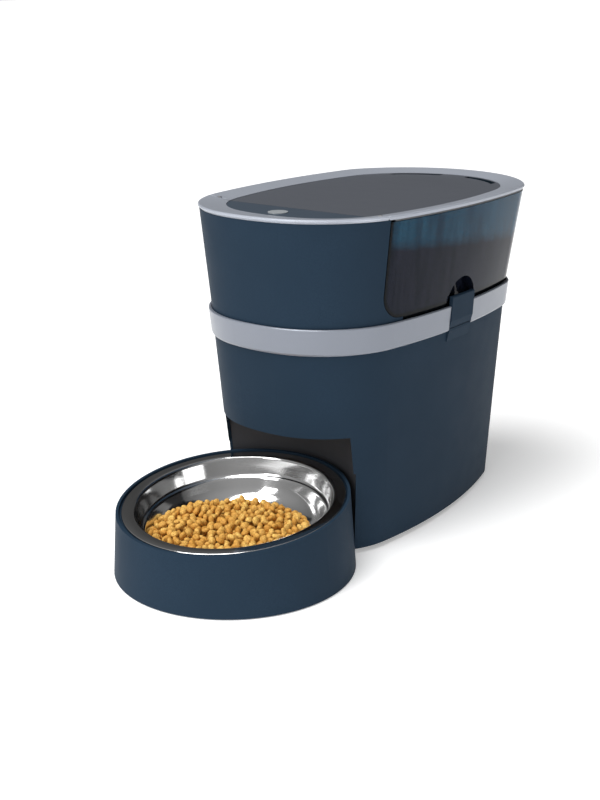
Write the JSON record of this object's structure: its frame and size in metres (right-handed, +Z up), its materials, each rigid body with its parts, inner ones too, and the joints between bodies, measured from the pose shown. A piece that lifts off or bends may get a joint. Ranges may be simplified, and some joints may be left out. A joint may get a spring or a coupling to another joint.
{
  "type": "smart pet feeder",
  "caption": "Automatic dry-food feeder with a lift-off smoky hopper, hinged lid, belt dispenser, feed button, side latches and a steel bowl in a slide-out tilted holder.",
  "frame": {"origin": "on the floor, in the middle of the footprint box", "axes": "+Z up, -Y out of the feeder's front, where the bowl is, +X to the right seen from behind the feeder; left and right are mirror images but for the gear train and the board"},
  "size_m": [0.2304, 0.4929, 0.318],
  "materials": {
    "navy_plastic": "satin dark navy moulding",
    "silver_paint": "satin silver paint over a moulding",
    "smoky_plastic": "clear smoky moulding, polished",
    "lid_plastic": "dark warm grey, polished",
    "panel_plastic": "blue-grey, polished",
    "button_plastic": "off-white",
    "inner_plastic": "black moulding",
    "white_plastic": "white bearing plastic",
    "belt_rubber": "black food-grade belt",
    "soft_rubber": "black",
    "seal_rubber": "grey silicone",
    "bowl_steel": "spun and polished stainless steel",
    "pin_steel": "bright steel",
    "bushing_brass": "sintered bronze",
    "circuit_board": "green board",
    "chip_black": "black packages",
    "cell_wrap": "printed film wrap, left plain",
    "dry_food": "baked golden-brown nuggets, only in the visual model",
    "contact_steel": "plated spring steel"
  },
  "bodies": {
    "base": {"base_shell": "navy_plastic", "recess_liner": "navy_plastic", "base_plate": "inner_plastic", "base_screws": "pin_steel", "frame_screws": "pin_steel", "rubber_feet": "soft_rubber", "front_band": "silver_paint", "rear_band": "silver_paint", "latch_pins": "pin_steel", "deck_plate": "inner_plastic", "feed_funnel": "inner_plastic", "discharge_hood": "inner_plastic", "conveyor_frame": "inner_plastic", "conveyor_belt": "belt_rubber", "roller_bushings": "bushing_brass", "gear_motor": "pin_steel", "gear_plate": "inner_plastic", "gear_plate_screws": "pin_steel", "gear_axle": "pin_steel", "front_shell": "navy_plastic", "front_rim": "silver_paint", "control_panel": "panel_plastic", "control_board": "circuit_board", "button_switch": "chip_black", "battery_box": "inner_plastic", "battery_cells": "cell_wrap", "battery_contacts": "contact_steel", "main_board": "circuit_board", "board_chips": "chip_black", "wireless_module": "contact_steel", "power_inlet": "inner_plastic"},
    "latch_right": {"latch_right": "navy_plastic"},
    "latch_left": {"latch_left": "navy_plastic"},
    "drive_roller": {"drive_roller": "white_plastic", "drive_shaft": "pin_steel", "roller_gear": "white_plastic"},
    "idle_roller": {"idle_roller": "white_plastic", "idle_shaft": "pin_steel"},
    "compound_gear": {"compound_gear": "white_plastic"},
    "motor_pinion": {"motor_pinion": "white_plastic", "motor_shaft": "pin_steel"},
    "feed_button": {"feed_button": "button_plastic"},
    "hopper": {"hopper_bin": "smoky_plastic", "hinge_brackets": "pin_steel", "lid_hinge_pins": "pin_steel"},
    "lid": {"lid_rim": "silver_paint", "lid_panel": "lid_plastic", "lid_seal": "seal_rubber"},
    "bowl_holder": {"bowl_holder": "navy_plastic", "holder_feet": "soft_rubber"},
    "food_bowl": {"food_bowl": "bowl_steel"},
    "battery_door": {"battery_door": "inner_plastic"}
  },
  "joints": [
    {"name": "hopper_lift", "type": "slide", "parent": "base", "child": "hopper", "axis": [0, 0, 1], "range_m": [0, 0.12]},
    {"name": "lid_hinge", "type": "hinge", "parent": "hopper", "child": "lid", "pos_m": [0, -0.043, 0.316], "axis": [1, 0, 0], "range_deg": [0, 80]},
    {"name": "latch_right_swing", "type": "hinge", "parent": "base", "child": "latch_right", "pos_m": [0.10267, 0.07189, 0.2008], "axis": [-0.0324, 0.9995, 0], "range_deg": [0, 25]},
    {"name": "latch_left_swing", "type": "hinge", "parent": "base", "child": "latch_left", "pos_m": [-0.10267, 0.07189, 0.2008], "axis": [-0.0324, -0.9995, 0], "range_deg": [0, 25]},
    {"name": "button_press", "type": "slide", "parent": "base", "child": "feed_button", "axis": [0, 0, -1], "range_m": [0, 0.0006], "stiffness_N_per_m": 800},
    {"name": "holder_slide", "type": "slide", "parent": "base", "child": "bowl_holder", "axis": [0, -1, 0], "range_m": [0, 0.12]},
    {"name": "bowl_lift", "type": "slide", "parent": "bowl_holder", "child": "food_bowl", "axis": [0, -0.1016, 0.9948], "range_m": [0, 0.03]},
    {"name": "drive_roller_spin", "type": "hinge", "parent": "base", "child": "drive_roller", "pos_m": [0, 0.11, 0.139], "axis": [1, 0, 0], "continuous": true},
    {"name": "idle_roller_spin", "type": "hinge", "parent": "base", "child": "idle_roller", "pos_m": [0, -0.044, 0.139], "axis": [1, 0, 0], "continuous": true},
    {"name": "compound_gear_spin", "type": "hinge", "parent": "base", "child": "compound_gear", "pos_m": [0, 0.11, 0.112], "axis": [1, 0, 0], "continuous": true},
    {"name": "motor_pinion_spin", "type": "hinge", "parent": "base", "child": "motor_pinion", "pos_m": [0, 0.11, 0.088], "axis": [1, 0, 0], "continuous": true},
    {"name": "battery_door_swing", "type": "hinge", "parent": "base", "child": "battery_door", "pos_m": [0, 0.0615, 0.0061], "axis": [-1, 0, 0], "range_deg": [0, 70]}
  ],
  "couplings": [
    {"joint": "idle_roller_spin", "follows": "drive_roller_spin", "ratio": 1},
    {"joint": "compound_gear_spin", "follows": "drive_roller_spin", "ratio": -2.8571},
    {"joint": "motor_pinion_spin", "follows": "drive_roller_spin", "ratio": 8.5714}
  ]
}
